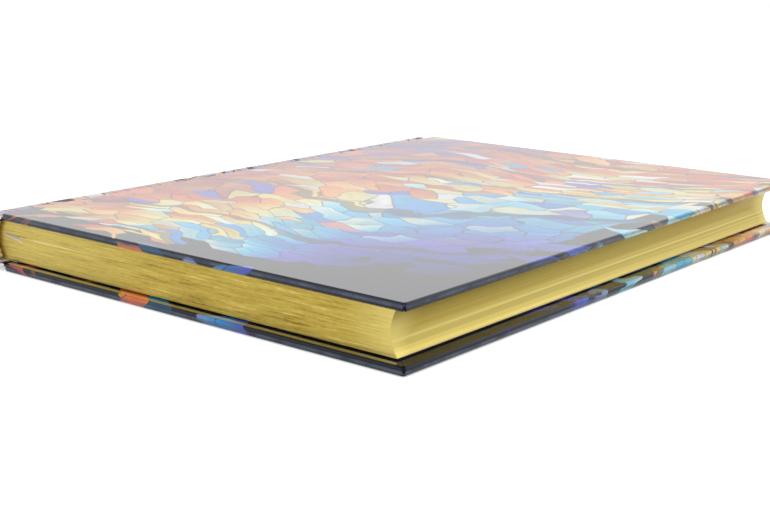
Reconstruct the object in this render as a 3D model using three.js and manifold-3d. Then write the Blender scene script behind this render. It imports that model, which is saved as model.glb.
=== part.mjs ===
// A case-bound journal with gilt edges, closed and lying on its back cover.
//
// It is built as the real one is: two greyboard cover boards and a card spine inlay dressed in one printed,
// laminated wrap that is turned in round the boards, a rounded block of leaves with a hollow fore-edge,
// endpapers, a spine lining, a woven headband and tailband, and a ribbon marker that comes out of the spine,
// crosses the headband and lies between two leaves. The wrap and the endpapers are single sheets on the real
// book. Each is parted here along the two grooves beside the spine, where the covers turn.
//
// Millimetres. X runs from the spine to the fore-edge, Y from the tail to the head, Z from the back cover to
// the front cover. The origin is on the surface the book lies on, under the middle of the closed book.
import * as THREE from "three";
import { mergeVertices } from "three/addons/utils/BufferGeometryUtils.js";
import Module from "manifold-3d";

// Leaves
const LEAF_WIDTH = 152.2; // from the spine fold to the fore-edge
const LEAF_HEIGHT = 204.8; // from the tail to the head
const BLOCK_THICKNESS = 12; // all the leaves, with the two flyleaves
const BLOCK_ROUND = 1.9; // how far the middle leaf stands out at the spine, and in at the fore-edge
const FORE_LEAN = 0.2; // how far the last leaf stands out at the fore-edge, and the first one in
const ENDPAPER = 0.15; // thickness of the pastedowns and flyleaves

// Covers
const BOARD = 1.8; // thickness of the greyboard
const WRAP = 0.25; // thickness of the laminated wrap
const GLUE_LINE = 0.05; // between glued pieces
const TURN_IN = 15; // width of the wrap folded over to the inside
const EDGE_ROUND = 0.9; // rounding of the wrapped board edges
const CORNER_ROUND = 1.15; // rounding of the board corners, seen from above
const SQUARE_ENDS = 3.2; // how far the covers stand out past the leaves at the head and tail
const SQUARE_FORE = 4.7; // the same at the fore-edge
const PASTEDOWN_MARGIN = 5.5; // from the cover's edge to the pastedown
const MITRE_SLIT = 0.3; // width of the seam where two turn-ins meet at a corner
const MITRE_NICK = 0.7; // width of the nick that the seam leaves on the corner itself
const AIR = 0.3; // between the block and each cover, and between pieces that move past each other

// Spine and grooves
const GROOVE = 5.6; // clear width of the groove between the spine and a board
const SPINE_BULGE = 2.8; // how far the rounded spine stands out past its own shoulders
const SHOULDER_DROP = 0.5; // how far the spine's shoulders lie below the face of the covers
const SHOULDER_ROUND = 0.8; // rounding of the spine's shoulders
const INLAY = 0.6; // thickness of the card in the spine
const HOLLOW = 1; // the free space of the hollow back
const LINING = 0.3; // thickness of the lining glued to the folds, and of the skirts of the bands

// Headband and tailband
const BEAD = 0.9; // radius of the woven bead
const SKIRT = 9; // height of the cloth skirt glued to the folds
const STITCHES = 20; // turns of thread over each bead
const STITCH_RELIEF = 0.09; // how deep the thread bites between two turns, as a share of the radius

// Ribbon marker
const RIBBON_WIDTH = 7;
const RIBBON = 0.25; // thickness
const RIBBON_INSET = 3; // from the folds to the ribbon's near edge
const RIBBON_RISE = 7.7; // from the back of the block to the leaves that hold the ribbon
const RIBBON_TIP = 2.9; // how far its longer corner shows at the tail
const RIBBON_CUT = 2.2; // how much shorter the other corner is: the end is cut on the slant
const RIBBON_DROOP = 1.4; // how far the longer corner hangs below the leaves that hold the ribbon
const RIBBON_TAIL = 8; // the end glued down behind the headband
const EASE = 0.05; // clearance round the ribbon between the leaves

const ARC_STEPS = 20;
const SHOULDER_STEPS = 5;
const EDGE_STEPS = 4;
const CORNER_STEPS = 4;
const STEPS_PER_STITCH = 4;
const BEAD_SIDES = 9;

// Sizes and places that follow from the above
const coverThickness = BOARD + 2 * (GLUE_LINE + WRAP);
const bookThickness = BLOCK_THICKNESS + 2 * (coverThickness + ENDPAPER + AIR);
const coverHeight = LEAF_HEIGHT + 2 * SQUARE_ENDS;
const middle = bookThickness / 2;
const blockBottom = middle - BLOCK_THICKNESS / 2;
const blockTop = middle + BLOCK_THICKNESS / 2;

// An arc that bulges towards -X by `rise` over a chord that is `chord` high and stands at x.
function bulge(x, chord, rise) {
  const radius = ((chord / 2) ** 2 + rise ** 2) / (2 * rise);
  return { radius, x: x - rise + radius, z: middle, end: Math.asin(chord / 2 / radius) };
}

// The spine's outside. The widths of what lies inside it set where the leaves start.
const spineStack = INLAY + 2 * (WRAP + GLUE_LINE);
const foldsBehindShoulder = spineStack + HOLLOW + GLUE_LINE + LINING - SPINE_BULGE + BLOCK_ROUND;
const caseWidth = SPINE_BULGE + foldsBehindShoulder + LEAF_WIDTH + SQUARE_FORE;
const shoulderX = -caseWidth / 2 + SPINE_BULGE;
const foldX = shoulderX + foldsBehindShoulder;
const foreX = foldX + LEAF_WIDTH;
const coverForeX = foreX + SQUARE_FORE;
const spineArc = bulge(shoulderX, bookThickness - 2 * SHOULDER_DROP, SPINE_BULGE);
const foldArc = bulge(foldX, BLOCK_THICKNESS, BLOCK_ROUND);

// Where the groove starts and where the board starts.
const grooveX = spineArc.x - (spineArc.radius - spineStack) * Math.cos(spineArc.end);
const boardX = grooveX + GROOVE;

const wasm = await Module();
wasm.setup();

// Booleans work on closed solids whose shared vertices are merged.
function solid(geometry) {
  const bare = geometry.clone();
  bare.deleteAttribute("normal");
  bare.deleteAttribute("uv");
  const merged = mergeVertices(bare, 1e-4);
  const vertProperties = merged.attributes.position.array;
  const triVerts = new Uint32Array(merged.index.array);
  return new wasm.Manifold(new wasm.Mesh({ numProp: 3, vertProperties, triVerts }));
}

function geometryOf(manifold) {
  const mesh = manifold.getMesh();
  const geometry = new THREE.BufferGeometry();
  geometry.setAttribute("position", new THREE.BufferAttribute(mesh.vertProperties, 3));
  geometry.setIndex(new THREE.BufferAttribute(mesh.triVerts, 1));
  geometry.computeVertexNormals();
  return geometry;
}

function box(x0, x1, y0, y1, z0, z1) {
  const geometry = new THREE.BoxGeometry();
  const corners = geometry.attributes.position;
  for (let i = 0; i < corners.count; i++) {
    const x = corners.getX(i) < 0 ? x0 : x1;
    const y = corners.getY(i) < 0 ? y0 : y1;
    const z = corners.getZ(i) < 0 ? z0 : z1;
    corners.setXYZ(i, x, y, z);
  }
  return geometry;
}

// A profile drawn in X and Z, run along Y from y0 to y1.
function prism(points, y0, y1) {
  const shape = new THREE.Shape(points);
  const geometry = new THREE.ExtrudeGeometry(shape, { depth: y1 - y0, bevelEnabled: false });
  return geometry.rotateX(Math.PI / 2).translate(0, y1, 0);
}

// A flat plate with rounded corners and rounded edges, with its outer face at z = z0.
function plate(x0, x1, y0, y1, z0, z1, corner, round) {
  const outline = new THREE.Shape();
  outline.moveTo(x0 + corner, y0);
  outline.lineTo(x1 - corner, y0);
  outline.absarc(x1 - corner, y0 + corner, corner, -Math.PI / 2, 0);
  outline.lineTo(x1, y1 - corner);
  outline.absarc(x1 - corner, y1 - corner, corner, 0, Math.PI / 2);
  outline.lineTo(x0 + corner, y1);
  outline.absarc(x0 + corner, y1 - corner, corner, Math.PI / 2, Math.PI);
  outline.lineTo(x0, y0 + corner);
  outline.absarc(x0 + corner, y0 + corner, corner, Math.PI, (3 * Math.PI) / 2);
  const geometry = new THREE.ExtrudeGeometry(outline, {
    depth: z1 - z0 - 2 * round,
    bevelThickness: round,
    bevelSize: round,
    bevelOffset: -round,
    bevelSegments: EDGE_STEPS,
    curveSegments: CORNER_STEPS,
  });
  return geometry.translate(0, 0, z0 + round);
}

// Points on a circle in X and Z about the arc's centre, from one angle to another. Angle 0 points to -X.
function arcPoints(arc, radius, from, to, steps = ARC_STEPS) {
  const points = [];
  for (let i = 0; i <= steps; i++) {
    const angle = from + ((to - from) * i) / steps;
    points.push(new THREE.Vector2(arc.x - radius * Math.cos(angle), arc.z + radius * Math.sin(angle)));
  }
  return points;
}

// A band between two radii, as a closed profile.
function band(arc, inner, outer, end) {
  return [...arcPoints(arc, outer, end, -end), ...arcPoints(arc, inner, -end, end)];
}

// A closed skin over rings of points, with a flat cap on the first and the last ring.
function loft(rings, section) {
  const count = rings[0].length;
  const index = [];
  for (let r = 0; r + 1 < rings.length; r++) {
    for (let k = 0; k < count; k++) {
      const a = r * count + k;
      const b = r * count + ((k + 1) % count);
      index.push(a, b, b + count, a, b + count, a + count);
    }
  }
  const last = (rings.length - 1) * count;
  for (const [a, b, c] of THREE.ShapeUtils.triangulateShape(section, [])) {
    index.push(a, c, b, last + a, last + b, last + c);
  }
  const geometry = new THREE.BufferGeometry().setFromPoints(rings.flat());
  geometry.setIndex(index);
  geometry.computeVertexNormals();
  return geometry;
}

const materials = {
  print: new THREE.MeshStandardMaterial({ color: 0x24305c, roughness: 0.32, metalness: 0 }),
  board: new THREE.MeshStandardMaterial({ color: 0x8d867b, roughness: 0.95, metalness: 0 }),
  gilt: new THREE.MeshStandardMaterial({ color: 0xc2a64a, roughness: 0.42, metalness: 0.75 }),
  endpaper: new THREE.MeshStandardMaterial({ color: 0xe9dfc4, roughness: 0.9, metalness: 0 }),
  lining: new THREE.MeshStandardMaterial({ color: 0xb59a72, roughness: 0.95, metalness: 0 }),
  bands: new THREE.MeshStandardMaterial({ color: 0xd9c27a, roughness: 0.7, metalness: 0 }),
  ribbon: new THREE.MeshStandardMaterial({ color: 0xefdcae, roughness: 0.45, metalness: 0 }),
};

function piece(name, geometry, material) {
  const mesh = new THREE.Mesh(geometry, material);
  mesh.name = name;
  return mesh;
}

// One cover: board, wrap and pastedown, with z = 0 at its outer face and z growing towards the leaves.
const halfHeight = coverHeight / 2;
const skin = WRAP + GLUE_LINE;
const boardInnerZ = skin + BOARD;

// The board, grown on every side by `grow` to cut its own seat in the wrap.
function boardPlate(grow) {
  const inset = skin - grow;
  return plate(
    boardX + inset,
    coverForeX - inset,
    -halfHeight + inset,
    halfHeight - inset,
    skin - grow,
    boardInnerZ + grow,
    CORNER_ROUND - inset,
    EDGE_ROUND - inset,
  );
}

// The wrap round one board: outer sheet, folded edges, and turn-ins with mitred corners. Along the groove it
// only rounds the board's edge.
function coverWrap() {
  const windowX = coverForeX - TURN_IN;
  const windowY = halfHeight - TURN_IN;
  const sheet = plate(
    boardX, coverForeX, -halfHeight, halfHeight, 0, coverThickness, CORNER_ROUND, EDGE_ROUND,
  );
  const windowLow = boardX + EDGE_ROUND + WRAP;
  const window = box(windowLow, windowX, -windowY, windowY, boardInnerZ, coverThickness + AIR);
  let wrap = solid(sheet).subtract(solid(boardPlate(GLUE_LINE))).subtract(solid(window));
  for (const side of [-1, 1]) {
    wrap = wrap.subtract(mitre(side));
  }
  return geometryOf(wrap);
}

// The seam between two turn-ins, from a fore-edge corner to past the corner of the window, with the nick that
// it leaves in the corner itself.
function mitre(side) {
  const run = (TURN_IN - CORNER_ROUND) * Math.SQRT2 + MITRE_SLIT;
  const top = coverThickness + GLUE_LINE;
  const seam = box(0, run, -MITRE_SLIT / 2, MITRE_SLIT / 2, boardInnerZ, top);
  const nickBottom = coverThickness / 3;
  const nick = box(-CORNER_ROUND - GLUE_LINE, GLUE_LINE, -MITRE_NICK / 2, MITRE_NICK / 2, nickBottom, top);
  const cut = solid(seam).add(solid(nick)).rotate([0, 0, side > 0 ? -135 : 135]);
  return cut.translate([coverForeX - CORNER_ROUND, side * (halfHeight - CORNER_ROUND), 0]);
}

// The pastedown follows the step from the turn-ins down to the bare board.
function pastedown() {
  const x0 = boardX + EDGE_ROUND + WRAP + GLUE_LINE;
  const x1 = coverForeX - PASTEDOWN_MARGIN;
  const y = halfHeight - PASTEDOWN_MARGIN;
  const panX = coverForeX - TURN_IN - GLUE_LINE;
  const panY = halfHeight - TURN_IN - GLUE_LINE;
  const low = boardInnerZ + GLUE_LINE;
  const top = coverThickness + ENDPAPER;
  const frame = solid(box(x0, x1, -y, y, coverThickness, top));
  const pan = solid(box(x0, panX, -panY, panY, low, top));
  const dishX = panX - ENDPAPER;
  const dishY = panY - ENDPAPER;
  const dish = solid(box(x0 - AIR, dishX, -dishY, dishY, low + ENDPAPER, top + AIR));
  return geometryOf(frame.add(pan).subtract(dish));
}

function cover(side) {
  const group = new THREE.Group();
  group.add(piece(side + "_board", boardPlate(0), materials.board));
  group.add(piece(side + "_cover_wrap", coverWrap(), materials.print));
  group.add(piece(side + "_pastedown", pastedown(), materials.endpaper));
  return group;
}

// How far up the block a height is, from -1 at the back leaf to 1 at the front leaf.
const share = (z) => (z - middle) / (BLOCK_THICKNESS / 2);
const foldAt = (z) => foldArc.x - Math.sqrt(foldArc.radius ** 2 - (z - middle) ** 2);
const foreAt = (z) => foreX - BLOCK_ROUND * (1 - share(z) ** 2) - FORE_LEAN * share(z);

// Leaves between two heights: rounded at the spine, hollow and a little leaning at the fore-edge.
function leaves(bottom, top, steps) {
  const spineSide = [];
  const foreSide = [];
  for (let i = 0; i <= steps; i++) {
    const z = bottom + ((top - bottom) * i) / steps;
    spineSide.unshift(new THREE.Vector2(foldAt(z), z));
    foreSide.push(new THREE.Vector2(foreAt(z), z));
  }
  return [...foreSide, ...spineSide];
}

const halfLeaf = LEAF_HEIGHT / 2;
const ribbonX = foldX - BLOCK_ROUND + RIBBON_INSET + RIBBON_WIDTH / 2;
const ribbonZ = blockBottom + RIBBON_RISE;

function textBlock() {
  const stack = prism(leaves(blockBottom + ENDPAPER, blockTop - ENDPAPER, ARC_STEPS), -halfLeaf, halfLeaf);
  const halfWidth = RIBBON_WIDTH / 2 + EASE;
  const halfGap = RIBBON / 2 + EASE;
  const past = halfLeaf + AIR;
  const [gapLow, gapHigh] = [ribbonX - halfWidth, ribbonX + halfWidth];
  const gap = box(gapLow, gapHigh, -past, past, ribbonZ - halfGap, ribbonZ + halfGap);
  return geometryOf(solid(stack).subtract(solid(gap)));
}

function flyleaf(bottom) {
  return prism(leaves(bottom, bottom + ENDPAPER, 1), -halfLeaf, halfLeaf);
}

// The lining covers the folds between the skirts of the two bands.
function spineLining() {
  const inner = foldArc.radius + GLUE_LINE;
  const half = halfLeaf - SKIRT - GLUE_LINE;
  return prism(band(foldArc, inner, inner + LINING, foldArc.end), -half, half);
}

// A woven band: a bead that lies on the ends of the leaves, on a skirt glued to the folds. `side` is 1 at the
// head and -1 at the tail.
function endBand(side) {
  const outside = GLUE_LINE + LINING;
  const section = (radius) => {
    const points = [new THREE.Vector2(GLUE_LINE, -SKIRT), new THREE.Vector2(outside, -SKIRT)];
    for (let i = 0; i <= BEAD_SIDES; i++) {
      const angle = (i / BEAD_SIDES) * 1.5 * Math.PI;
      const x = outside - BEAD + radius * Math.cos(angle);
      points.push(new THREE.Vector2(x, GLUE_LINE + BEAD + radius * Math.sin(angle)));
    }
    points.push(new THREE.Vector2(GLUE_LINE, GLUE_LINE + BEAD - radius));
    return points;
  };
  const rings = [];
  const steps = STITCHES * STEPS_PER_STITCH;
  for (let i = 0; i <= steps; i++) {
    const angle = side * foldArc.end * (1 - (2 * i) / steps);
    const turn = (i / STEPS_PER_STITCH) * 2 * Math.PI;
    const radius = BEAD * (1 - (STITCH_RELIEF * (1 + Math.cos(turn))) / 2);
    const at = (p) =>
      new THREE.Vector3(
        foldArc.x - (foldArc.radius + p.x) * Math.cos(angle),
        side * (halfLeaf + p.y),
        foldArc.z + (foldArc.radius + p.x) * Math.sin(angle),
      );
    rings.push(section(radius).map(at));
  }
  return loft(rings, section(BEAD));
}

// The ribbon, from the slanted end that shows and droops at the tail, along the leaves, with a twist over the
// headband, and down into the hollow back. Each station is a point of its middle line and how far it has
// twisted from lying flat between the leaves (0) to lying flat on the headband (1).
function ribbonMarker() {
  const beadX = foldX - BLOCK_ROUND - GLUE_LINE - LINING + BEAD;
  const beadY = halfLeaf + GLUE_LINE + BEAD;
  const bend = BEAD + RIBBON;
  const overBead = beadY + bend;
  const behindX = beadX - bend;
  const lift = RIBBON_WIDTH / 6;
  const stations = [
    [ribbonX, -halfLeaf, ribbonZ, 0],
    [ribbonX, 0, ribbonZ, 0],
    [ribbonX, halfLeaf, ribbonZ, 0],
    [ribbonX - 0.3, halfLeaf + lift, ribbonZ, 0.25],
    [ribbonX - 1.2, halfLeaf + 1.3 * lift, ribbonZ - 0.3, 0.5],
    [ribbonX - 2.6, overBead, middle + 0.6, 0.75],
    [beadX + BEAD + RIBBON, overBead, middle, 1],
    [beadX, overBead, middle, 1],
    [beadX - bend * Math.SQRT1_2, beadY + bend * Math.SQRT1_2, middle, 1],
    [behindX, beadY, middle, 1],
    [behindX, halfLeaf - 1, middle, 1],
    [behindX, halfLeaf - RIBBON_TAIL, middle, 1],
  ];
  const centres = stations.map(([x, y, z]) => new THREE.Vector3(x, y, z));
  const flat = new THREE.Quaternion();
  const twistAxis = new THREE.Vector3(1, -1, 1).normalize();
  const twisted = new THREE.Quaternion().setFromAxisAngle(twistAxis, (2 * Math.PI) / 3);
  const section = [
    new THREE.Vector2(-RIBBON_WIDTH / 2, -RIBBON / 2),
    new THREE.Vector2(RIBBON_WIDTH / 2, -RIBBON / 2),
    new THREE.Vector2(RIBBON_WIDTH / 2, RIBBON / 2),
    new THREE.Vector2(-RIBBON_WIDTH / 2, RIBBON / 2),
  ];
  const rings = stations.map(([, , , twist], i) => {
    const across = new THREE.Vector3(1, 0, 0).applyQuaternion(flat.clone().slerp(twisted, twist));
    const ahead = centres[Math.min(i + 1, centres.length - 1)];
    const path = ahead.clone().sub(centres[Math.max(i - 1, 0)]);
    const direction = twist === 0 ? new THREE.Vector3(0, 1, 0) : path;
    direction.addScaledVector(across, -direction.dot(across)).normalize();
    const up = new THREE.Vector3().crossVectors(direction, across);
    return section.map((p) => {
      return centres[i].clone().addScaledVector(across, p.x).addScaledVector(up, p.y);
    });
  });
  const tip = [1, 0.7, 0.35].map((reach) =>
    section.map((p) => {
      const out = reach * (RIBBON_TIP - RIBBON_CUT * (0.5 - p.x / RIBBON_WIDTH));
      const drop = RIBBON_DROOP * (out / RIBBON_TIP) ** 2;
      return new THREE.Vector3(ribbonX + p.x, -halfLeaf - out, ribbonZ + p.y - drop);
    }),
  );
  return loft([...tip, ...rings], section);
}

// The angle at which the seat of the spine card ends, inside the rounded shoulder.
const seatAngle = spineArc.end - (WRAP + SHOULDER_ROUND / 3) / spineArc.radius;

// The card that stiffens the spine.
function spineInlay() {
  const outer = spineArc.radius - skin;
  const end = seatAngle - GLUE_LINE / spineArc.radius;
  const half = halfHeight - skin;
  return prism(band(spineArc, outer - INLAY, outer, end), -half, half);
}

// The rounding between the spine's outside and its shoulder, in the order of the profile: up to the crest on
// the front side (1), and down from it on the back side (-1).
function shoulderPoints(side) {
  const angle = spineArc.end - SHOULDER_ROUND / spineArc.radius;
  const reach = spineArc.radius - SHOULDER_ROUND;
  const points = [];
  for (let i = 0; i < SHOULDER_STEPS; i++) {
    const turn = angle + ((1 - i / SHOULDER_STEPS) * Math.PI) / 2;
    const x = spineArc.x - reach * Math.cos(angle) - SHOULDER_ROUND * Math.cos(turn);
    const z = reach * Math.sin(angle) + SHOULDER_ROUND * Math.sin(turn);
    points.push(new THREE.Vector2(x, middle + side * z));
  }
  return side > 0 ? points : points.reverse();
}

// The wrap over the spine: the outer sheet, its fold over each shoulder, the strip along the floor of each
// groove, and its turn-ins behind the inlay at the head and tail.
function spineWrap() {
  const { radius, end } = spineArc;
  const floor = coverThickness + ENDPAPER;
  const ceiling = bookThickness - floor;
  const wallX = grooveX - WRAP;
  const stripX = boardX - AIR;
  const innerRadius = radius - spineStack;
  const innerEnd = Math.acos((spineArc.x - wallX) / innerRadius);
  const shoulder = innerRadius * Math.sin(end);
  const crest = end - SHOULDER_ROUND / radius;
  const profile = [
    new THREE.Vector2(stripX, ceiling),
    new THREE.Vector2(stripX, ceiling + WRAP),
    new THREE.Vector2(grooveX, ceiling + WRAP),
    new THREE.Vector2(grooveX, middle + shoulder),
    ...shoulderPoints(1),
    ...arcPoints(spineArc, radius, crest, -crest),
    ...shoulderPoints(-1),
    new THREE.Vector2(grooveX, middle - shoulder),
    new THREE.Vector2(grooveX, floor - WRAP),
    new THREE.Vector2(stripX, floor - WRAP),
    new THREE.Vector2(stripX, floor),
    new THREE.Vector2(wallX, floor),
    ...arcPoints(spineArc, innerRadius, -innerEnd, innerEnd),
    new THREE.Vector2(wallX, ceiling),
  ];
  const seatEnd = halfHeight - WRAP;
  const seat = prism(band(spineArc, innerRadius + WRAP, radius - WRAP, seatAngle), -seatEnd, seatEnd);
  const openEnd = halfHeight - TURN_IN;
  const hollow = band(spineArc, innerRadius - GLUE_LINE, innerRadius + spineStack / 2, innerEnd);
  const open = prism(hollow, -openEnd, openEnd);
  const shell = solid(prism(profile, -halfHeight, halfHeight));
  return geometryOf(shell.subtract(solid(seat)).subtract(solid(open)));
}

const journal = new THREE.Group();
journal.name = "journal";

const backCover = cover("back");
backCover.name = "back_cover";
const frontCover = cover("front");
frontCover.name = "front_cover";
frontCover.rotation.x = Math.PI;
frontCover.position.z = bookThickness;

const book = new THREE.Group();
book.name = "book";
book.add(piece("text_block", textBlock(), materials.gilt));
book.add(piece("front_flyleaf", flyleaf(blockTop - ENDPAPER), materials.endpaper));
book.add(piece("back_flyleaf", flyleaf(blockBottom), materials.endpaper));
book.add(piece("spine_lining", spineLining(), materials.lining));
book.add(piece("headband", endBand(1), materials.bands));
book.add(piece("tailband", endBand(-1), materials.bands));
book.add(piece("ribbon_marker", ribbonMarker(), materials.ribbon));
book.add(piece("spine_inlay", spineInlay(), materials.board));
book.add(piece("spine_wrap", spineWrap(), materials.print));

journal.add(backCover, book, frontCover);

export default journal;
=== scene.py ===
"""The look of a hardcover journal with a printed, laminated case and gilt leaves, lying on its back cover.

Metres, in the frame of the CAD model: X from the spine to the fore-edge, Y from the tail to the head, Z up.
"""
import bpy
import math
from mathutils import Matrix, Vector


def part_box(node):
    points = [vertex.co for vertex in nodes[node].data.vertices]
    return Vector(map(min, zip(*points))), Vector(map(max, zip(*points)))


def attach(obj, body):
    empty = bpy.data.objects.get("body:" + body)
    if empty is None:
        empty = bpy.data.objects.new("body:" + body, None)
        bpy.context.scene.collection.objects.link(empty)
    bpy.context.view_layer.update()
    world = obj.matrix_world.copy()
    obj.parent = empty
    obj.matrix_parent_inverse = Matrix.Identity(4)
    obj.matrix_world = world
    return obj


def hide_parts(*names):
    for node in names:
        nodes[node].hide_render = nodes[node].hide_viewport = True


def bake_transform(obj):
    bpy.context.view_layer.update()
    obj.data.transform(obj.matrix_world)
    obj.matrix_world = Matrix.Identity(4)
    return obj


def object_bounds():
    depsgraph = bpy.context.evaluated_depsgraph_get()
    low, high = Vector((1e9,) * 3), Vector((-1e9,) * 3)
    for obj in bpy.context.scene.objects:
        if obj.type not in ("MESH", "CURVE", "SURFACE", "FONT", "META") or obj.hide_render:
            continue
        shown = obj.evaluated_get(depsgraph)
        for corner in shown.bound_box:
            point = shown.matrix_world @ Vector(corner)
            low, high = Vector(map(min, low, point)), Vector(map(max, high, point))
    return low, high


MM = 0.001

# Camera, from a fit to the edges of the covers in the photograph
LENS_MM = 62.9
CAMERA_PLACE = Vector((0.2614, -0.3354, 0.0985))
CAMERA_AZIMUTH = math.radians(39.08)
CAMERA_ELEVATION = math.radians(13.48)
CAMERA_ROLL = 0.0096

# Wrap and endpaper across the grooves
SKIN = 0.12 * MM  # thickness of the bridging strips
LIFT = 0.03 * MM  # how far they lie off what is under them
GROOVE = 5.6 * MM
GROOVE_FLOOR = 2.3 * MM
SHOULDER = 1.25 * MM
INSIDE = 2.62 * MM  # height of the endpaper between the back cover and the leaves

# How the ribbon's free end lies other than in the solid
RIBBON_LEAN = 5 * MM  # towards the fore-edge
RIBBON_NEARER = 1.0 * MM  # closer to the leaves
RIBBON_LIFT = 0.6 * MM

# Outside of the book, where the print and the gilding are placed from
BOOK_THICKNESS = 17.7 * MM
COVER_THICKNESS = 2.3 * MM
TAIL_Y = -105.6 * MM
FORE_X = 80.7 * MM
JOINT_SPINE_SIDE = (-78.9 * MM, -78.4 * MM)  # where the pale band of painted highlight along the groove begins
JOINT_BOARD_SIDE = (-73.5 * MM, -71.5 * MM)  # where it ends
LEAF_ENDS = (102.25 * MM, 102.38 * MM)  # the cut ends of the leaves at the tail and the head
RIBBON_Z = 10.55 * MM

# Printed pieces of glass, as lengths on the cover
PIECE_LENGTH = 13 * MM
PIECE_WIDTH = 5.2 * MM
LEAD_WIDTH = 0.045  # as a share of a piece
STREAM_PERIOD = 38 * MM  # between two dark lines that flow through the print
COLOUR_REACH = 190 * MM  # from the near corner, where the cool colours start, to where the warm ones end

# Rounded edges of the boards
SWELL = 0.4  # how far the sheet swells between the two faces of a board, in mm
EDGE_CREST = 1.0 * MM  # from the outer face to the middle of the band of painted highlight
# colour of the painted highlight along the rounded edges of the boards
EDGE_HIGHLIGHT = (0.13, 0.165, 0.24)

NAVY = (0.006, 0.009, 0.024)
NIGHT = (0.004, 0.005, 0.010)
GLASS = [
    (0.0, (0.004, 0.008, 0.030)),
    (0.12, (0.008, 0.016, 0.090)),
    (0.20, (0.012, 0.040, 0.36)),
    (0.28, (0.10, 0.09, 0.60)),
    (0.34, (0.010, 0.26, 0.74)),
    (0.41, (0.05, 0.56, 0.84)),
    (0.47, (0.72, 0.90, 0.84)),
    (0.53, (0.90, 0.80, 0.26)),
    (0.61, (0.92, 0.42, 0.05)),
    (0.70, (0.84, 0.16, 0.03)),
    (0.79, (0.58, 0.05, 0.03)),
    (0.87, (0.86, 0.30, 0.06)),
    (0.94, (0.62, 0.08, 0.12)),
    (1.0, (0.22, 0.10, 0.50)),
]
ODD_GLASS = [
    (0.0, (0.94, 0.95, 0.94)),
    (0.30, (0.06, 0.44, 0.80)),
    (0.46, (0.88, 0.80, 0.20)),
    (0.58, (0.94, 0.95, 0.94)),
    (0.70, (0.10, 0.10, 0.60)),
    (0.84, (0.80, 0.18, 0.06)),
]

# Gold leaf on the cut ends of the leaves, and on the fore-edge, which is cut smoother
GOLD_ENDS = [
    (0.34, (0.27, 0.18, 0.024)),
    (0.46, (0.52, 0.38, 0.070)),
    (0.57, (0.62, 0.46, 0.092)),
    (0.68, (0.86, 0.69, 0.21)),
]
GOLD_FORE = [
    (0.25, (0.32, 0.23, 0.038)),
    (0.45, (0.47, 0.35, 0.066)),
    (0.60, (0.51, 0.39, 0.082)),
    (0.75, (0.69, 0.58, 0.20)),
]
# colour of the painted highlights on the gold
GOLD_HIGHLIGHT = (0.86, 0.71, 0.22)
LEAF_METAL = 0.9
BAND_PITCH = 1.24 * MM  # a gold and a cream stripe of the head and tail bands
CREAM = (0.84, 0.76, 0.58)


class Graph:
    """Short ways to add nodes to a node tree."""

    def __init__(self, tree):
        self.tree = tree

    def add(self, kind, **settings):
        node = self.tree.nodes.new("ShaderNode" + kind)
        for key, value in settings.items():
            setattr(node, key, value)
        return node

    def join(self, source, target):
        """Links an output to a socket, or writes a plain value on it."""
        if isinstance(source, bpy.types.NodeSocket):
            self.tree.links.new(source, target)
        elif isinstance(source, tuple) and len(source) == 3 and target.type == "RGBA":
            target.default_value = (*source, 1)
        else:
            target.default_value = source

    def math(self, operation, a, b=0.0, c=0.0):
        node = self.add("Math", operation=operation)
        for socket, value in zip(node.inputs, (a, b, c)):
            self.join(value, socket)
        return node.outputs[0]

    def clamp01(self, a, low, high):
        """0 below low, 1 above high, smooth between."""
        return self.span(a, low, high, 0.0, 1.0, "SMOOTHSTEP")

    def span(self, a, low, high, to_low, to_high, interpolation="LINEAR"):
        """The value a, taken from low and high to to_low and to_high."""
        node = self.add("MapRange", interpolation_type=interpolation)
        for socket, value in zip(node.inputs, (a, low, high, to_low, to_high)):
            self.join(value, socket)
        return node.outputs[0]

    def place(self, scale=(1, 1, 1)):
        """The point's place on the object, in metres times scale."""
        mapping = self.add("Mapping")
        self.join(self.add("TexCoord").outputs["Object"], mapping.inputs["Vector"])
        mapping.inputs["Scale"].default_value = scale
        return mapping.outputs[0]

    def axes(self, vector):
        node = self.add("SeparateXYZ")
        self.join(vector, node.inputs[0])
        return node.outputs

    def point(self, x, y):
        node = self.add("CombineXYZ")
        self.join(x, node.inputs[0])
        self.join(y, node.inputs[1])
        return node.outputs[0]

    def noise(self, vector, scale=1.0, detail=2.0, rough=0.5):
        node = self.add("TexNoise")
        self.join(vector, node.inputs["Vector"])
        node.inputs["Scale"].default_value = scale
        node.inputs["Detail"].default_value = detail
        node.inputs["Roughness"].default_value = rough
        return node.outputs["Fac"]

    def voronoi(self, vector, feature="F1"):
        node = self.add("TexVoronoi", feature=feature, voronoi_dimensions="2D")
        self.join(vector, node.inputs["Vector"])
        node.inputs["Scale"].default_value = 1.0
        return node.outputs

    def mix(self, factor, a, b):
        node = self.add("Mix", data_type="RGBA")
        self.join(factor, node.inputs[0])
        self.join(a, node.inputs[6])
        self.join(b, node.inputs[7])
        return node.outputs[2]

    def ramp(self, factor, stops, interpolation="LINEAR"):
        node = self.add("ValToRGB")
        self.join(factor, node.inputs[0])
        ramp = node.color_ramp
        ramp.interpolation = interpolation
        for place, color in stops[2:]:
            ramp.elements.new(place)
        for element, (place, color) in zip(ramp.elements, stops):
            element.position = place
            element.color = (*color, 1)
        return node.outputs[0]


class Shader(Graph):
    """A material, as the nodes that feed its surface."""

    def __init__(self, name):
        self.material = bpy.data.materials.new(name)
        self.material.use_nodes = True
        super().__init__(self.material.node_tree)
        self.bsdf = self.tree.nodes["Principled BSDF"]

    def set(self, **inputs):
        for name, value in inputs.items():
            self.join(value, self.bsdf.inputs[name.replace("_", " ")])

    def bump(self, height, distance, strength=1.0):
        node = self.add("Bump")
        self.join(height, node.inputs["Height"])
        node.inputs["Distance"].default_value = distance
        node.inputs["Strength"].default_value = strength
        self.join(node.outputs[0], self.bsdf.inputs["Normal"])


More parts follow.
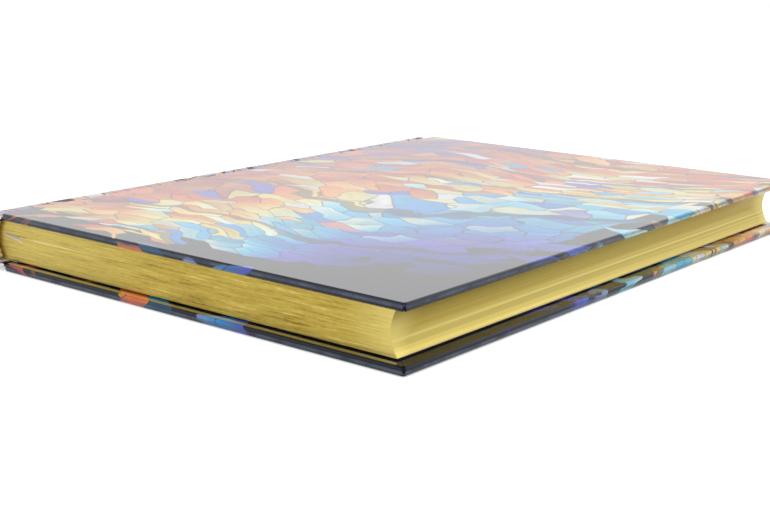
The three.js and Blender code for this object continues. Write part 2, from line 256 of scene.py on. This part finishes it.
def glass_print():
    """Printed paper under a satin film: shards like glass in flowing streams, over a dark ground."""
    s = Shader("glass_print")
    at_x, at_y, z = s.axes(s.place())
    # The sheet is measured along its folds: down the edges of the boards and over the spine
    on_board = s.clamp01(at_x, -0.0790, -0.0783)
    depth = s.math("MULTIPLY", on_board, s.math("MINIMUM", z, s.math("SUBTRACT", BOOK_THICKNESS, z)))
    over = s.math("MULTIPLY", s.math("SUBTRACT", 1.0, on_board), s.math("SUBTRACT", z, BOOK_THICKNESS))
    x = s.math("ADD", at_x, s.math("ADD", depth, over))
    y = s.math("SUBTRACT", at_y, depth)
    sway = s.noise(s.place(), scale=9, detail=1)
    bend = s.math("MULTIPLY", s.math("SINE", s.math("MULTIPLY", x, 2 * math.pi / 0.17)), 0.009)
    drift = s.math("MULTIPLY_ADD", x, -0.35, s.math("MULTIPLY_ADD", sway, 0.085, bend))
    jog = s.noise(s.place(), scale=75, detail=1)
    across = s.math("ADD", y, s.math("MULTIPLY_ADD", jog, 0.012, drift))
    along = s.math("MULTIPLY_ADD", y, 0.35, s.math("MULTIPLY_ADD", jog, -0.014, x))

    cell = s.point(s.math("DIVIDE", along, PIECE_LENGTH), s.math("DIVIDE", across, PIECE_WIDTH))
    cells = s.voronoi(cell)
    edge = s.voronoi(cell, "DISTANCE_TO_EDGE")["Distance"]
    pick, tone, chance = s.axes(cells["Color"])

    # Night and blue by the near corner, then pale pieces, then warm ones towards the head and the spine
    from_fore = s.math("SUBTRACT", FORE_X, at_x)
    from_tail = s.math("SUBTRACT", at_y, TAIL_Y)
    reach = s.math("MULTIPLY", from_tail, 0.65)
    squares = s.math("MULTIPLY_ADD", from_fore, from_fore, s.math("MULTIPLY", reach, reach))
    away = s.math("SQRT", s.math("ABSOLUTE", squares))
    wander = s.noise(s.place(), scale=20, detail=2)
    place = s.math("MULTIPLY_ADD", wander, 0.20, s.math("MULTIPLY_ADD", away, 1 / COLOUR_REACH, -0.10))
    spread = s.math("MULTIPLY", s.clamp01(away, 0.03, 0.12), 0.34)
    glass = s.ramp(s.math("MULTIPLY_ADD", s.math("SUBTRACT", pick, 0.5), spread, place), GLASS)
    odd = s.math("MULTIPLY", s.clamp01(chance, 0.86, 0.87), s.clamp01(away, 0.04, 0.09))
    glass = s.mix(odd, glass, s.ramp(tone, ODD_GLASS, "CONSTANT"))
    streaks = s.noise(s.point(s.math("MULTIPLY", along, 110), s.math("MULTIPLY", across, 520)), detail=3)
    shade = s.math("MULTIPLY_ADD", streaks, 0.6, s.math("MULTIPLY", tone, 0.35))
    dark = s.math("MULTIPLY_ADD", s.clamp01(away, 0.10, 0.19), 0.20, 0.62)
    glass = s.mix(s.math("SUBTRACT", dark, shade), glass, NIGHT)
    # Painted highlight: the print is paled along the joint by the spine, where the shoulder catches the light
    joint_highlight = s.math("SUBTRACT", s.clamp01(at_x, *JOINT_SPINE_SIDE), s.clamp01(at_x, *JOINT_BOARD_SIDE))
    glass = s.mix(s.math("MULTIPLY", joint_highlight, 0.6), glass, (0.90, 0.93, 0.93))

    # Few pieces stand in the dark ground by the near corner and along the tail and fore-edges
    ends = s.math("MULTIPLY_ADD", s.clamp01(s.math("ABSOLUTE", from_tail), 0.001, 0.022), 0.80, 0.20)
    warm = s.math("MULTIPLY", s.clamp01(from_tail, 0.05, 0.16), 0.45)
    fore = s.math("ADD", s.math("MULTIPLY_ADD", s.clamp01(from_fore, 0.002, 0.014), 0.75, 0.25), warm)
    corner = s.clamp01(away, 0.005, 0.060)
    density = s.math("MAXIMUM", s.math("MULTIPLY", s.math("MINIMUM", ends, fore), corner), joint_highlight)
    lot = s.math("FRACT", s.math("MULTIPLY", pick, 7.3))
    shown = s.clamp01(s.math("MULTIPLY_ADD", density, 1.15, s.math("MULTIPLY", lot, -1.0)), 0.0, 0.04)
    lead = s.clamp01(edge, LEAD_WIDTH * 0.35, LEAD_WIDTH)
    taper = s.noise(s.place(), scale=17, detail=1)
    stream = s.math("SINE", s.math("MULTIPLY", across, 2 * math.pi / STREAM_PERIOD))
    open_glass = s.clamp01(s.math("SUBTRACT", stream, s.math("MULTIPLY", taper, 0.16)), -1.05, -1.03)
    visible = s.math("MULTIPLY", s.math("MULTIPLY", lead, open_glass), shown)
    ground = s.mix(s.math("MULTIPLY", shown, 0.30), s.mix(streaks, NIGHT, NAVY), glass)
    # Painted highlight: a blue grey band, in patches, along the middle of each rounded edge, where the film
    # catches the light
    off_crest = s.math("ABSOLUTE", s.math("SUBTRACT", depth, EDGE_CREST))
    crest = s.math("SUBTRACT", 1.0, s.clamp01(off_crest, 0.0001, 0.0007))
    patches = s.clamp01(s.noise(s.place(), scale=140, detail=3), 0.30, 0.62)
    crest = s.math("MULTIPLY", crest, s.math("SUBTRACT", 1.0, joint_highlight))
    edge_highlight = s.math("MULTIPLY", crest, s.math("MULTIPLY_ADD", patches, 0.45, 0.30))
    colour = s.mix(edge_highlight, s.mix(visible, ground, glass), EDGE_HIGHLIGHT)

    film = s.noise(s.place(), scale=900, detail=2)
    graze = s.add("LayerWeight").outputs["Facing"]
    flat = s.math("SUBTRACT", s.clamp01(graze, 0.70, 0.87), s.clamp01(depth, 0.0002, 0.0003))
    flat = s.math("MAXIMUM", flat, 0.0)
    gloss = s.math("MULTIPLY_ADD", s.clamp01(graze, 0.45, 0.78), 0.95, 0.05)
    gloss = s.math("MULTIPLY", gloss, s.math("MULTIPLY_ADD", flat, -0.5, 1.0))
    s.set(Base_Color=colour, Roughness=0.16, IOR=1.33, Specular_IOR_Level=gloss)
    s.set(Coat_Weight=s.math("MULTIPLY_ADD", flat, -0.35, 1.0), Coat_Roughness=0.10, Coat_IOR=1.3)
    # The turned-over sheet swells a little between the two edges of each board
    off_middle = s.math("MULTIPLY_ADD", depth, 2 / COVER_THICKNESS, -1.0)
    swell = s.math("MULTIPLY", s.math("MULTIPLY", off_middle, off_middle), -SWELL)
    s.bump(s.math("MULTIPLY_ADD", film, 0.005, swell), MM, 1.0)
    return s.material


def gold(s):
    """Gold leaf on trimmed leaves: colour, roughness and height. It is painted paler, as painted highlights,
    at the block's corners, on the ends towards the spine and low on the fore-edge.
    """
    x, y, z = s.axes(s.place())
    to_end = s.math("ABSOLUTE", y)
    on_end = s.clamp01(to_end, *LEAF_ENDS)
    fine = s.noise(s.place((60, 60, 1900)), detail=3, rough=0.7)
    pits = s.noise(s.place((500, 500, 1500)), detail=3, rough=0.7)
    long = s.noise(s.place((2.5, 2.5, 1300)), detail=2)
    low = s.math("SUBTRACT", 1.0, s.clamp01(z, 0.0055, 0.0095))
    rough_ends = s.math("MULTIPLY_ADD", fine, 0.75, s.math("MULTIPLY", pits, 0.25))
    swing = s.math("MULTIPLY_ADD", low, 1.9, 0.45)
    smooth_fore = s.math("MULTIPLY_ADD", s.math("SUBTRACT", long, 0.5), swing, 0.5)
    tone = s.mix(on_end, s.ramp(smooth_fore, GOLD_FORE), s.ramp(rough_ends, GOLD_ENDS))
    # Painted highlights: the gold is made paler at the block's corners, on the ends towards the spine and low
    # on the fore-edge
    corner_highlight = s.math("MULTIPLY", s.clamp01(x, 0.058, 0.0765), s.clamp01(to_end, 0.090, 0.1022))
    by_spine = s.math("SUBTRACT", 0.35, s.math("MULTIPLY", s.clamp01(x, -0.06, 0.01), 0.35))
    spine_end_highlight = s.math("MULTIPLY", on_end, by_spine)
    foot_highlight = s.math("MULTIPLY", s.math("SUBTRACT", 0.45, s.math("MULTIPLY", on_end, 0.45)), low)
    pale = s.math("MAXIMUM", s.math("MULTIPLY", corner_highlight, 0.75), s.math("MAXIMUM", foot_highlight, spine_end_highlight))
    tone = s.mix(pale, tone, GOLD_HIGHLIGHT)
    # A leaf that stands proud beside the ribbon, its lit edge a painted highlight
    off_line = s.math("ABSOLUTE", s.math("MULTIPLY_ADD", x, 0.004, s.math("SUBTRACT", RIBBON_Z, z)))
    line = s.math("SUBTRACT", 1.0, s.clamp01(off_line, 0.03 * MM, 0.16 * MM))
    fade = s.math("SUBTRACT", s.clamp01(x, -0.069, -0.066), s.clamp01(x, -0.058, -0.020))
    line = s.math("MULTIPLY", s.math("MULTIPLY", line, fade), s.clamp01(y, 0.0, -0.05))
    tone = s.mix(s.math("MULTIPLY", line, on_end), tone, (0.92, 0.84, 0.50))
    specks = s.noise(s.place((1300, 1300, 2600)), detail=1)
    tone = s.mix(s.math("MULTIPLY", s.clamp01(specks, 0.76, 0.82), on_end), tone, (0.95, 0.88, 0.60))
    rough = s.math("MULTIPLY_ADD", pits, 0.22, 0.24)
    height = s.math("MULTIPLY_ADD", on_end, s.math("SUBTRACT", rough_ends, smooth_fore), smooth_fore)
    return tone, rough, height


def gilt():
    s = Shader("gilt")
    tone, rough, lines = gold(s)
    s.set(Base_Color=tone, Metallic=LEAF_METAL, Roughness=rough)
    s.bump(lines, 0.10 * MM, 0.5)
    return s.material


def gilt_paper():
    """Plain paper whose cut edges are gilt with the rest of the block."""
    s = Shader("gilt_paper")
    tone, rough, lines = gold(s)
    up = s.axes(s.add("NewGeometry").outputs["Normal"])[2]
    face = s.clamp01(s.math("ABSOLUTE", up), 0.4, 0.6)
    fibres = s.noise(s.place((420, 900, 420)), detail=4, rough=0.7)
    sheet = s.mix(s.clamp01(fibres, 0.35, 0.75), tuple(0.86 * c for c in CREAM), CREAM)
    s.set(Base_Color=s.mix(face, tone, sheet))
    s.set(Metallic=s.math("MULTIPLY", s.math("SUBTRACT", 1.0, face), LEAF_METAL))
    s.set(Roughness=s.math("MULTIPLY_ADD", face, 0.5, 0.35))
    s.bump(fibres, 0.03 * MM, 0.5)
    return s.material


def paper(name, colour):
    """Uncoated paper with faint fibres."""
    s = Shader(name)
    fibres = s.noise(s.place((420, 900, 420)), detail=4, rough=0.7)
    cloud = s.noise(s.place(), scale=60, detail=2)
    dark = tuple(0.86 * c for c in colour)
    tone = s.mix(s.clamp01(fibres, 0.35, 0.75), dark, colour)
    tone = s.mix(s.math("MULTIPLY", cloud, 0.12), tone, dark)
    s.set(Base_Color=tone, Roughness=0.85)
    s.bump(fibres, 0.03 * MM, 0.5)
    return s.material


def greyboard():
    """Recycled board with dark and pale flecks."""
    s = Shader("greyboard")
    pulp = s.noise(s.place(), scale=700, detail=4, rough=0.8)
    flecks = s.noise(s.place(), scale=2100, detail=2)
    tone = s.ramp(pulp, [(0.30, (0.16, 0.14, 0.12)), (0.55, (0.27, 0.25, 0.21)), (0.80, (0.40, 0.37, 0.32))])
    tone = s.mix(s.clamp01(flecks, 0.66, 0.70), tone, (0.05, 0.045, 0.05))
    # Painted shade: the board is darkened where the wrap is nicked at its corners, in place of the shade
    # inside the nick
    x, y, _ = s.axes(s.place())
    by_end = s.clamp01(s.math("ABSOLUTE", y), 0.1028, 0.1036)
    corner = s.math("MULTIPLY", s.clamp01(x, 0.0780, 0.0788), by_end)
    s.set(Base_Color=s.mix(corner, tone, NIGHT), Roughness=0.95)
    s.bump(pulp, 0.05 * MM)
    return s.material


def woven(name, light, dark, pitch_y, pitch_z, sheen):
    """Plain weave of two sets of threads, along Y and across it."""
    s = Shader(name)
    x, y, z = s.axes(s.place())
    span = s.math("ADD", x, z)
    warp = s.math("SINE", s.math("MULTIPLY", span, 2 * math.pi / pitch_z))
    weft = s.math("SINE", s.math("MULTIPLY", y, 2 * math.pi / pitch_y))
    weave = s.math("MULTIPLY", warp, weft)
    fuzz = s.noise(s.place(), scale=2400, detail=2)
    level = s.math("MULTIPLY_ADD", weave, 0.35, s.math("MULTIPLY_ADD", fuzz, 0.4, 0.3))
    s.set(Base_Color=s.mix(s.clamp01(level, 0.1, 0.8), dark, light), Roughness=0.6, Sheen_Weight=sheen)
    s.bump(weave, 0.05 * MM, 0.6)
    return s.material


def banding():
    """Headband thread, gold and cream by turns."""
    s = Shader("banding")
    height = s.axes(s.place())[2]
    turn = s.math("SINE", s.math("MULTIPLY", height, 2 * math.pi / BAND_PITCH))
    twist = s.noise(s.place((1800, 1800, 4200)), detail=2)
    tone = s.mix(s.clamp01(turn, -0.2, 0.2), (0.70, 0.52, 0.16), CREAM)
    tone = s.mix(s.math("MULTIPLY", twist, 0.35), tone, (0.22, 0.15, 0.05))
    s.set(Base_Color=tone, Roughness=0.55, Sheen_Weight=0.3)
    s.bump(twist, 0.05 * MM, 0.7)
    return s.material


def strip_mesh(name, profile, y0, y1, steps, thickness, side):
    """A thin closed strip: a profile in X and Z run along Y and thickened towards side."""
    line = [Vector((x, 0, z)) for x, z in profile]
    normals = []
    for i, p in enumerate(line):
        ahead = line[min(i + 1, len(line) - 1)]
        behind = line[max(i - 1, 0)]
        run = (ahead - behind).normalized()
        normals.append(Vector((-run.z, 0, run.x)) * side)
    ring = line + [p + n * thickness for p, n in zip(reversed(line), reversed(normals))]
    count = len(ring)
    verts = []
    faces = []
    for j in range(steps + 1):
        y = y0 + (y1 - y0) * j / steps
        verts += [(p.x, y, p.z) for p in ring]
    for j in range(steps):
        for k in range(count):
            a, b = j * count + k, j * count + (k + 1) % count
            faces.append((a, b, b + count, a + count))
    half = count // 2
    for j, flip in ((0, False), (steps, True)):
        for k in range(half - 1):
            quad = [j * count + i for i in (k, k + 1, count - 2 - k, count - 1 - k)]
            faces.append(quad[::-1] if flip else quad)
    mesh = bpy.data.meshes.new(name)
    mesh.from_pydata(verts, [], faces)
    mesh.update()
    obj = bpy.data.objects.new(name, mesh)
    bpy.context.collection.objects.link(obj)
    return obj


def smooth(points, per_span):
    """Points on a smooth curve through the given ones."""

    def between(a, b, c, d, t):
        bend = (2 * a - 5 * b + 4 * c - d) * t * t + (3 * b - a - 3 * c + d) * t**3
        return 0.5 * (2 * b + (c - a) * t + bend)

    out = []
    for i in range(len(points) - 1):
        before, after = points[max(i - 1, 0)], points[min(i + 2, len(points) - 1)]
        for k in range(per_span):
            near = zip(before, points[i], points[i + 1], after)
            out.append(tuple(between(*four, k / per_span) for four in near))
    return out + [points[-1]]


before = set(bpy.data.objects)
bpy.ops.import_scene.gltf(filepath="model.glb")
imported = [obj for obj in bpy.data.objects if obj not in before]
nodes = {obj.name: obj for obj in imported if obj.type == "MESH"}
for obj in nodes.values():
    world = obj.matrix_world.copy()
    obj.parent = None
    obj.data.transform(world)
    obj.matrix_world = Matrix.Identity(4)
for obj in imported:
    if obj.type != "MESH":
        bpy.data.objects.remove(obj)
bpy.context.scene.view_settings.view_transform = "Standard"
cad_low, cad_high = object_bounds()
middle_z = (cad_low.z + cad_high.z) / 2


def camera():
    az, el, roll = CAMERA_AZIMUTH, CAMERA_ELEVATION, CAMERA_ROLL
    back = Vector((math.sin(az) * math.cos(el), -math.cos(az) * math.cos(el), math.sin(el)))
    level = Vector((math.cos(az), math.sin(az), 0))
    up = back.cross(level)
    right = level * math.cos(roll) + up * math.sin(roll)
    up = up * math.cos(roll) - level * math.sin(roll)
    data = bpy.data.cameras.new("camera")
    data.lens = LENS_MM
    data.clip_start = 0.01
    obj = bpy.data.objects.new("camera", data)
    bpy.context.collection.objects.link(obj)
    rotation = Matrix((right, up, back)).transposed().to_4x4()
    obj.matrix_world = Matrix.Translation(CAMERA_PLACE) @ rotation
    bpy.context.scene.camera = obj


def studio():
    """A white surround, one soft lamp above and a pale floor that takes the shadow."""
    world = bpy.data.worlds.new("studio")
    world.use_nodes = True
    bpy.context.scene.world = world
    g = Graph(world.node_tree)
    shade = g.tree.nodes["Background"]
    # Glossy rays meet a white backdrop, a soft box over it and a dim ceiling
    height = g.axes(g.add("TexCoord").outputs["Generated"])[2]
    box = g.span(height, 0.30, 0.38, 1.0, 1.7)
    ceiling = g.span(height, 0.62, 0.70, 0.0, -1.4)
    path = g.add("LightPath").outputs
    direct = g.math("MAXIMUM", path["Is Camera Ray"], path["Is Glossy Ray"])
    level = g.span(direct, 0.0, 1.0, 0.64, g.math("ADD", box, ceiling))
    g.join(level, shade.inputs["Strength"])
    shade.inputs["Color"].default_value = (1, 1, 1, 1)

    lamp = bpy.data.lights.new("overhead", "AREA")
    lamp.energy = 3.2
    lamp.size = 0.4
    obj = bpy.data.objects.new("overhead", lamp)
    obj.location = (0.15, -0.15, 0.9)
    obj.rotation_euler = Vector((0.15, -0.15, 0.9)).to_track_quat("Z", "Y").to_euler()
    bpy.context.collection.objects.link(obj)

    mesh = bpy.data.meshes.new("floor")
    reach = 6.0
    corners = [(-reach, -reach), (reach, -reach), (reach, reach), (-reach, reach)]
    mesh.from_pydata([(x, y, cad_low.z - 0.02 * MM) for x, y in corners], [], [(0, 1, 2, 3)])
    floor = bpy.data.objects.new("floor", mesh)
    bpy.context.collection.objects.link(floor)
    s = Shader("floor")
    s.set(Base_Color=(0.9, 0.9, 0.9), Roughness=0.9, Specular_IOR_Level=0.0, Emission_Color=(1.0, 1.0, 1.0))
    path = s.add("LightPath").outputs
    mirrored = s.math("MULTIPLY", path["Is Glossy Ray"], 0.08)
    s.set(Emission_Strength=s.math("MULTIPLY_ADD", path["Is Camera Ray"], 0.42, mirrored))
    mesh.materials.append(s.material)


def dress(material, *names):
    for name in names:
        mesh = nodes[name].data
        mesh.materials.clear()
        mesh.materials.append(material)


def groove_skins(material, inner_material):
    """The wrap and the endpaper where they cross each groove."""
    cover_low, cover_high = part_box("back_cover_wrap")
    block_low, block_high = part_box("text_block")
    board_x = cover_low.x
    wall = board_x - GROOVE + LIFT
    edge = board_x - LIFT - SKIN
    under = GROOVE_FLOOR - LIFT
    outside = [
        (wall, SHOULDER),
        (wall + 0.4 * MM, under - 0.75 * MM),
        (wall + 1.1 * MM, under - 0.40 * MM),
        (wall + 2.0 * MM, under - 0.12 * MM),
        (wall + 3.0 * MM, under),
        (edge - 0.9 * MM, under - 0.02 * MM),
        (edge - 0.15 * MM, under - 0.25 * MM),
        (edge, under - 0.95 * MM),
    ]
    half = cover_high.y
    inside = [
        (wall + 1.0 * MM, INSIDE),
        (board_x - 0.5 * MM, INSIDE),
        (board_x + 2.4 * MM, INSIDE + 0.02 * MM),
    ]
    for side, turn in (("back", 1), ("front", -1)):
        for label, points, piece_material, slot, reach in (
            ("groove_skin", outside, material, "printed_wrap", half - 0.4 * MM),
            ("inner_joint", inside, inner_material, "endpaper", block_high.y),
        ):
            line = [(x, middle_z - turn * (middle_z - z)) for x, z in smooth(points, 6)]
            obj = strip_mesh(f"{side}_{label}", line, -reach, reach, 24, SKIN, -turn)
            obj.data.materials.append(piece_material)
            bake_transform(obj)


def ribbon(material):
    """The ribbon marker, its free end at the tail leaning over the leaves towards the fore-edge."""
    solid = nodes["ribbon_marker"]
    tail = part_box("text_block")[0].y
    mesh = solid.data.copy()
    mesh.name = "ribbon"
    obj = bpy.data.objects.new("ribbon", mesh)
    bpy.context.collection.objects.link(obj)
    obj.matrix_world = solid.matrix_world.copy()
    to_local = obj.matrix_world.inverted()
    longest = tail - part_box("ribbon_marker")[0].y
    for vertex in mesh.vertices:
        place = obj.matrix_world @ vertex.co
        part = (tail - place.y) / longest
        if part > 0.001:
            place += Vector((RIBBON_LEAN * part, part * RIBBON_NEARER, part * part * RIBBON_LIFT))
            vertex.co = to_local @ place
    mesh.materials.clear()
    mesh.materials.append(material)
    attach(obj, "book")
    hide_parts("ribbon_marker")


camera()
studio()
wrap_material = glass_print()
endpaper_material = paper("endpaper", CREAM)
dress(wrap_material, "spine_wrap", "front_cover_wrap", "back_cover_wrap")
dress(gilt(), "text_block")
dress(gilt_paper(), "front_flyleaf", "back_flyleaf")
dress(endpaper_material, "front_pastedown", "back_pastedown")
dress(greyboard(), "front_board", "back_board", "spine_inlay")
dress(woven("lining", (0.62, 0.50, 0.34), (0.30, 0.22, 0.13), 0.8 * MM, 0.8 * MM, 0.1), "spine_lining")
satin = woven("satin", (0.98, 0.94, 0.78), (0.88, 0.78, 0.55), 0.34 * MM, 0.5 * MM, 0.5)
dress(satin, "ribbon_marker")
ribbon(satin)
dress(banding(), "headband", "tailband")
groove_skins(wrap_material, endpaper_material)
